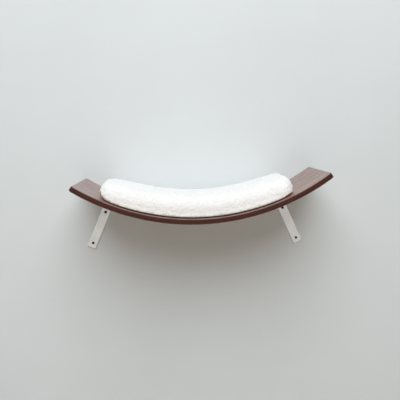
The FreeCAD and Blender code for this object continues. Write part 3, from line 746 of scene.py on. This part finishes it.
def cushion_base():
    """The woven cloth under the cushion, stitched round its edge."""
    outline = base_outline(0.0)
    points = []
    for radius in (BASE_INSIDE, BASE_OUTSIDE):
        for along, wide in outline:
            for column in range(BASE_COLUMNS + 1):
                points.append(on_base(radius, along, wide * (2 * column / BASE_COLUMNS - 1)))
    faces = cloth_faces(len(outline), BASE_COLUMNS)
    cloth = mesh_piece("cushion_base_cloth", points, faces, "base_cloth", "cushion")
    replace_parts(cloth, "base_panel")
    stitches = base_stitches()
    middle = [on_base(BASE_INSIDE, along, 0.0) for along, _ in outline]
    steps = [(two - one).length for one, two in zip(middle, middle[1:])]
    area = sum(step * (one[1] + two[1]) for step, one, two in zip(steps, outline, outline[1:]))
    2 * outline[len(outline) // 2][1]


# The zip: two woven tapes with a line of stitches along both edges, and the coil between them
TAPE_DEPTH = 0.016
TAPE_THICK = 0.0007
TAPE_EDGE = 0.0062
TAPE_STEP = 0.0012
TAPE_SEAM_INSET = 0.0012
TAPE_SEAM_SUNK = 0.00002
TAPE_PITCH, TAPE_STITCH, TAPE_THREAD = 0.0030, 0.0021, 0.00018
COIL_RADIUS = 0.0012
COIL_SET_IN = 0.0004
COIL_DEPTH = TAPE_DEPTH + COIL_SET_IN
COIL_TURNS, COIL_STEPS = 190, 10
COIL_WIDE, COIL_HIGH, COIL_WIRE = 0.00105, 0.00055, 0.00033
COIL_CORD = 0.0005
COIL_SIDES = 6
ZIP_HALF_ANGLE = math.asin(ZIP_HALF_SPAN / ZIP_RADIUS)
ZIP_LINE_STEPS = 60


def zip_line(radius, depth):
    """Points along the zip from its left end to its right end."""
    return [on_curve(radius, ZIP_HALF_ANGLE * (2 * step / ZIP_LINE_STEPS - 1), depth)
            for step in range(ZIP_LINE_STEPS + 1)]


def zip_tapes():
    """The two woven tapes and the stitches along their edges."""
    threads = Bundle()
    for name, inner, outer in (
            ("upper_zip_tape", ZIP_RADIUS - TAPE_EDGE, ZIP_RADIUS - COIL_RADIUS),
            ("lower_zip_tape", ZIP_RADIUS + COIL_RADIUS, ZIP_RADIUS + TAPE_EDGE)):
        tape = curved_slab(f"{name}_cloth", inner, outer, ZIP_HALF_ANGLE, TAPE_DEPTH,
                           TAPE_DEPTH + TAPE_THICK, "zip_tape", "cushion", step=TAPE_STEP)
        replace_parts(tape, name)
        for radius in (inner + TAPE_SEAM_INSET, outer - TAPE_SEAM_INSET):
            line = zip_line(radius, TAPE_DEPTH - TAPE_SEAM_SUNK)
            stitch_line(threads, line, TAPE_PITCH, TAPE_STITCH, TAPE_THREAD)
    threads.piece("zip_tape_stitches", "zip_tape", "cushion")


def zip_coil():
    """The coil's turns, flattened, round the cord that runs through them."""
    path = []
    for index in range(COIL_TURNS * COIL_STEPS + 1):
        share = index / (COIL_TURNS * COIL_STEPS)
        turn = math.tau * index / COIL_STEPS
        path.append(on_curve(ZIP_RADIUS + COIL_WIDE * math.cos(turn), ZIP_HALF_ANGLE * (2 * share - 1),
                             COIL_DEPTH + COIL_HIGH * math.sin(turn)))
    cord = zip_line(ZIP_RADIUS, COIL_DEPTH)
    coil = Bundle()
    coil.tube(path, [COIL_WIRE] * len(path), COIL_SIDES)
    coil.tube(cord, [COIL_CORD] * len(cord), COIL_SIDES)
    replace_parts(coil.piece("zip_coil_turns", "zip_coil", "cushion"), "zip_coil")


# The strips that hold the cushion: where they lie along the board, and the radii of their tapes,
# hooks and loops
STRIP_PLACES = {"left": -0.150, "middle": 0.0, "right": 0.150}
STRIP_WIDTH = 0.025
STRIP_LENGTH = 0.180
STRIP_EDGE_SHARE = 0.92
STRIP_END_GAP = 0.002
STRIP_ROWS, STRIP_COLUMNS = 88, 12
THREAD_SIDES = 3
HOOK_TAPE = (0.5338, 0.5344)
HOOK_FOOT, HOOK_NECK, HOOK_TOP, HOOK_TIP = 0.5339, 0.5334, 0.5331, 0.5332
HOOK_BEND, HOOK_REACH = 0.0002, 0.0005
HOOK_WIRE = (0.00017, 0.00014, 0.00013, 0.0001)
LOOP_TAPE = (0.5321, 0.5326)
LOOP_FOOT, LOOP_SIDE, LOOP_TOP = 0.5325, 0.5330, 0.5331
LOOP_START, LOOP_MIDDLE, LOOP_END = -0.0006, 0.0004, 0.0009
LOOP_LEAN = 0.0006
LOOP_TURN = 0.0006
LOOP_WIRE = (0.00012, 0.00012, 0.00012, 0.00012)


def hook_path(angle, depth, way):
    """One hook, bent along its row to one side or the other."""
    return [on_curve(HOOK_FOOT, angle, depth), on_curve(HOOK_NECK, angle, depth),
            on_curve(HOOK_TOP, angle, depth + HOOK_BEND * way),
            on_curve(HOOK_TIP, angle, depth + HOOK_REACH * way)]


def loop_path(angle, depth, lean):
    """One loop, both its feet in the tape."""
    return [on_curve(LOOP_FOOT, angle, depth + LOOP_START), on_curve(LOOP_SIDE, angle, depth + lean),
            on_curve(LOOP_TOP, angle + LOOP_TURN, depth + LOOP_MIDDLE + lean),
            on_curve(LOOP_FOOT, angle + 2 * LOOP_TURN, depth + LOOP_END)]


def fastener_strips():
    """Hook tape glued to the board, loop tape sewn under the cushion."""
    half_angle = STRIP_WIDTH / 2 / BOARD_TOP
    near = BOARD_BACK + (BOARD_DEPTH - STRIP_LENGTH) / 2
    far = near + STRIP_LENGTH
    random.seed(5)
    for place, along in STRIP_PLACES.items():
        middle = along / BOARD_TOP
        hook_tape = curved_slab(f"{place}_hook_tape", *HOOK_TAPE, half_angle, near, far, "hook_tape",
                                "shelf", middle)
        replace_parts(hook_tape, f"{place}_hook_strip")
        loop_tape = curved_slab(f"{place}_loop_tape", *LOOP_TAPE, half_angle, near, far, "loop_tape",
                                "cushion", middle)
        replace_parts(loop_tape, f"{place}_loop_strip")
        hooks, loops = Bundle(), Bundle()
        for row in range(STRIP_ROWS):
            depth = near + STRIP_END_GAP + (STRIP_LENGTH - 2 * STRIP_END_GAP) * row / (STRIP_ROWS - 1)
            for column in range(STRIP_COLUMNS):
                share = 2 * (column + 0.5) / STRIP_COLUMNS - 1
                angle = middle + half_angle * STRIP_EDGE_SHARE * share
                way = 1 if (row + column) % 2 else -1
                hooks.tube(hook_path(angle, depth, way), HOOK_WIRE, THREAD_SIDES)
                lean = random.uniform(-LOOP_LEAN, LOOP_LEAN)
                loops.tube(loop_path(angle, depth, lean), LOOP_WIRE, THREAD_SIDES)
        hooks.piece(f"{place}_hooks", "hook_tape", "shelf")
        loops.piece(f"{place}_loops", "loop_tape", "cushion")


def finish_carried_nodes():
    """The board, brackets, screws, inserts, slider and pull keep their solids and get a finish."""
    for part in frame["record"]["subparts"]:
        node = frame["nodes"][part["node"]]
        for place in node.material_slots:
            place.material = FINISHES.get(part["material_slot"])


# The room

FLOOR_HEIGHT = -0.8
WALL_HALF_LENGTH, WALL_TOP = 2.6, 2.2
FLOOR_HALF_LENGTH, FLOOR_FRONT, FLOOR_BACK = 4, -4.5, 3.5
WALL_GAP = 0.0004
LEG_MARGIN = 0.0012


def stage_sheet(name, mesh, material):
    mesh.materials.append(material)
    placed(name, mesh)


def room_paint(name, color, patch_color, seen_behind=True):
    """Flat paint for the room. The wall is seen from the front only, so the shelf shows from behind."""
    finish = Finish(name, roughness=0.85)
    place = finish.place()
    patches = finish.cloud(place, 0.35)
    grain = finish.cloud(place, 0.0025, 2.0)
    shade = finish.mix(finish.ease(patches, 0.3, 0.7, 0.0, 0.5), color, patch_color)
    finish.set(base_color=shade, normal=finish.bump(grain, 0.0003, 0.3))
    if not seen_behind:
        back = finish.add("NewGeometry", output="Backfacing")
        clear = finish.add("BsdfTransparent")
        finish.end_with(finish.add("MixShader", None, {0: back, 1: finish.surface, 2: clear}))
    return finish.material


def leg_footprint(side):
    """The corners of a bracket's leg on the wall, drawn in by a margin."""
    middle = side * math.asin(UPPER_SCREW_SPACING / 2 / UPPER_SCREW_RADIUS)
    near, far, half = BOARD_UNDERSIDE + LEG_MARGIN, LEG_END - LEG_MARGIN, BAR_WIDTH / 2 - LEG_MARGIN
    outward = Vector((math.sin(middle), 0, -math.cos(middle)))
    across = Vector((math.cos(middle), 0, math.sin(middle)))
    axis = Vector((0, 0, AXIS_HEIGHT))
    corners = ((near, -half), (far, -half), (far, half), (near, half))
    return [axis + outward * radius + across * width for radius, width in corners]


def wall_sheet(material):
    """The wall's face, open behind the two legs so that light reaches their backs."""
    drawing = bpy.data.curves.new("wall", "CURVE")
    drawing.dimensions, drawing.fill_mode = "2D", "BOTH"
    left, right = -WALL_HALF_LENGTH, WALL_HALF_LENGTH
    corners = [Vector((left, 0, FLOOR_HEIGHT)), Vector((right, 0, FLOOR_HEIGHT)),
               Vector((right, 0, WALL_TOP)), Vector((left, 0, WALL_TOP))]
    for loop in (corners, leg_footprint(LEFT), leg_footprint(RIGHT)):
        spline = drawing.splines.new("POLY")
        spline.points.add(len(loop) - 1)
        for point, corner in zip(spline.points, loop):
            point.co = (corner.x, corner.z, 0, 1)
        spline.use_cyclic_u = True
    drawn = placed("wall_outline", drawing)
    mesh = evaluated_mesh(drawn)
    bpy.data.objects.remove(drawn)
    mesh.transform(Matrix.Translation((0, WALL_GAP, 0)) @ Matrix.Rotation(math.pi / 2, 4, "X"))
    stage_sheet("wall", mesh, material)


def floor_sheet(material):
    left, right = -FLOOR_HALF_LENGTH, FLOOR_HALF_LENGTH
    corners = [(left, FLOOR_FRONT, FLOOR_HEIGHT), (right, FLOOR_FRONT, FLOOR_HEIGHT),
               (right, FLOOR_BACK, FLOOR_HEIGHT), (left, FLOOR_BACK, FLOOR_HEIGHT)]
    mesh = bpy.data.meshes.new("floor")
    mesh.from_pydata(corners, [], [(0, 1, 2, 3)])
    stage_sheet("floor", mesh, material)


def room_light():
    """A dim warm light from the front, a stronger one from behind the wall, and a pale room to see."""
    world = bpy.data.worlds.new("room_light")
    bpy.context.scene.world = world
    light = Nodes(world, "OutputWorld")

    def glow(red, green, blue, strength):
        return light.add("Background", None, {"Color": (red, green, blue, 1), "Strength": strength})

    toward = light.add("TexCoord", output="Generated")
    is_behind = light.ease(light.add("SeparateXYZ", None, {0: toward}, "Y"), 0.0, 1.0)
    lit = {0: is_behind, 1: glow(1.0, 0.84, 0.70, 0.07), 2: glow(1.0, 0.98, 0.96, 0.60)}
    direct, mirrored, through = light.add(
        "LightPath", output=("Is Camera Ray", "Is Glossy Ray", "Is Transmission Ray"))
    seen = direct.math("MAXIMUM", mirrored).math("MAXIMUM", through)
    light.end_with(light.add("MixShader", None, {
        0: seen, 1: light.add("MixShader", None, lit), 2: glow(0.93, 0.96, 0.98, 0.80)}))


def lamp(name, spot, aim, size, power, color):
    light = bpy.data.lights.new(name, "AREA")
    light.shape, light.size, light.energy, light.color = "DISK", size, power, color[:3]
    holder = placed(name, light)
    holder.location = spot
    holder.rotation_euler = (Vector(aim) - Vector(spot)).to_track_quat("-Z", "Y").to_euler()


def room():
    wall_sheet(room_paint("wall_paint", tone(231, 236, 237), tone(225, 230, 231), seen_behind=False))
    floor_sheet(room_paint("floor_paint", tone(200, 195, 186), tone(192, 187, 178)))
    room_light()
    lamp("ceiling_light", spot=(-0.10, -2.34, 2.50), aim=(0, 0, 0.25), size=3.4, power=116.0,
         color=tone(246, 251, 255))
    lamp("front_light", spot=(0.0, -2.7, 0.0), aim=(0, 0, 0), size=2.6, power=6.5,
         color=tone(255, 219, 186))


# Where the photograph was taken from: in front of the wall and a little above the shelf
CAMERA_PLACE = (-0.04357, -1.67454, 0.21199)
CAMERA_YAW, CAMERA_PITCH, CAMERA_ROLL = 2.028, -6.338, -1.2145
SENSOR_WIDTH, LENS = 36.0, 55.797


def camera():
    data = bpy.data.cameras.new("camera")
    data.sensor_width, data.lens = SENSOR_WIDTH, LENS
    holder = placed("camera", data)
    yaw, pitch, roll = (math.radians(turn) for turn in (CAMERA_YAW, CAMERA_PITCH, CAMERA_ROLL))
    holder.matrix_world = (
        Matrix.Translation(CAMERA_PLACE) @ Matrix.Rotation(-yaw, 4, "Z")
        @ Matrix.Rotation(math.radians(90) + pitch, 4, "X") @ Matrix.Rotation(roll, 4, "Z"))
    bpy.context.scene.camera = holder


finish_carried_nodes()
cushion_plush()
cushion_base()
zip_tapes()
zip_coil()
fastener_strips()
room()
camera()
bpy.context.scene.view_settings.view_transform = "Standard"
